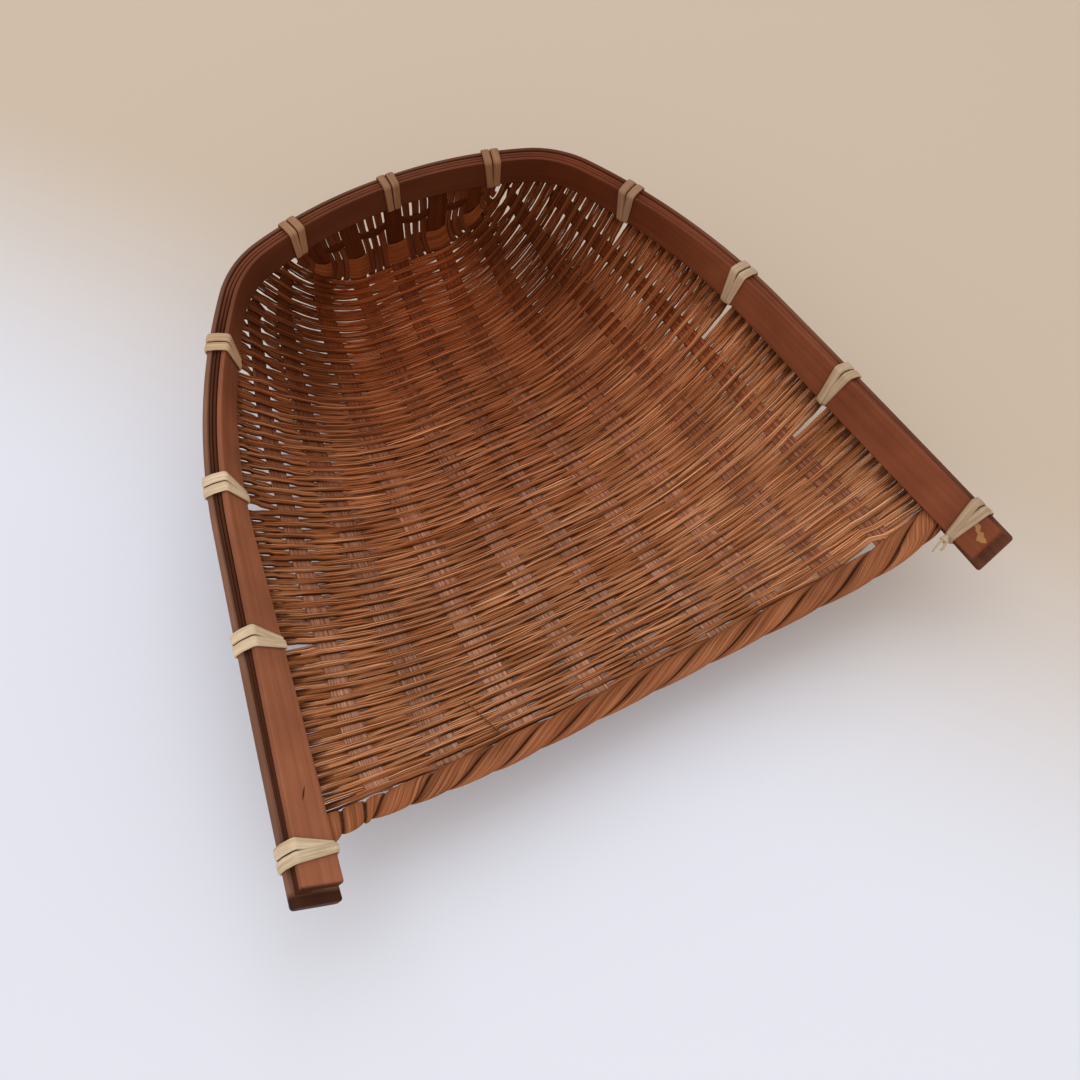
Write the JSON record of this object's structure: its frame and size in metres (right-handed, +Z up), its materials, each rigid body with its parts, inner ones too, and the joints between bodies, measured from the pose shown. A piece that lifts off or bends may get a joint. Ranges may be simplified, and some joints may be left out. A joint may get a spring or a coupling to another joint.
{
  "type": "dustpan basket",
  "caption": "Scoop-shaped woven bamboo dustpan basket, open at the front, its mat clamped in a bent double-hoop rim with rattan ties.",
  "frame": {"origin": "under the middle of the basket's overall size, on the surface that its flat floor stands on", "axes": "+X to the right across the mouth, +Y from the open front to the back wall, +Z up"},
  "size_m": [0.3048, 0.2646, 0.0856],
  "materials": {
    "hoop": "smooth smoked bamboo, satin",
    "filler": "split bamboo, matt",
    "warp": "flat bamboo strip with fine cross ribs, satin",
    "weft": "fine split bamboo, satin",
    "border": "folded bamboo strips, satin",
    "tie": "rattan peel, semi-gloss"
  },
  "bodies": {
    "root": {"inner_hoop": "hoop", "outer_hoop": "hoop", "rim_filler_inner": "filler", "rim_filler_outer": "filler", "warp_1": "warp", "warp_2": "warp", "warp_3": "warp", "warp_4": "warp", "warp_5": "warp", "warp_6": "warp", "warp_7": "warp", "warp_8": "warp", "warp_9": "warp", "wall_stake_1": "warp", "wall_stake_2": "warp", "wall_stake_3": "warp", "wall_stake_4": "warp", "weft_course_01": "weft", "weft_course_02": "weft", "weft_course_03": "weft", "weft_course_04": "weft", "weft_course_05": "weft", "weft_course_06": "weft", "weft_course_07": "weft", "weft_course_08": "weft", "weft_course_09": "weft", "weft_course_10": "weft", "weft_course_11": "weft", "weft_course_12": "weft", "weft_course_13": "weft", "weft_course_14": "weft", "weft_course_15": "weft", "weft_course_16": "weft", "weft_course_17": "weft", "weft_course_18": "weft", "weft_course_19": "weft", "weft_course_20": "weft", "weft_course_21": "weft", "weft_course_22": "weft", "weft_course_23": "weft", "weft_course_24": "weft", "back_base_strip": "weft", "back_upper_strip": "weft", "front_border": "border", "tie_back": "tie", "tie_corner_left": "tie", "tie_corner_right": "tie", "tie_front_left": "tie", "tie_front_right": "tie", "tie_fore_left": "tie", "tie_fore_right": "tie", "tie_middle_left": "tie", "tie_middle_right": "tie", "tie_rear_left": "tie", "tie_rear_right": "tie"}
  },
  "joints": []
}
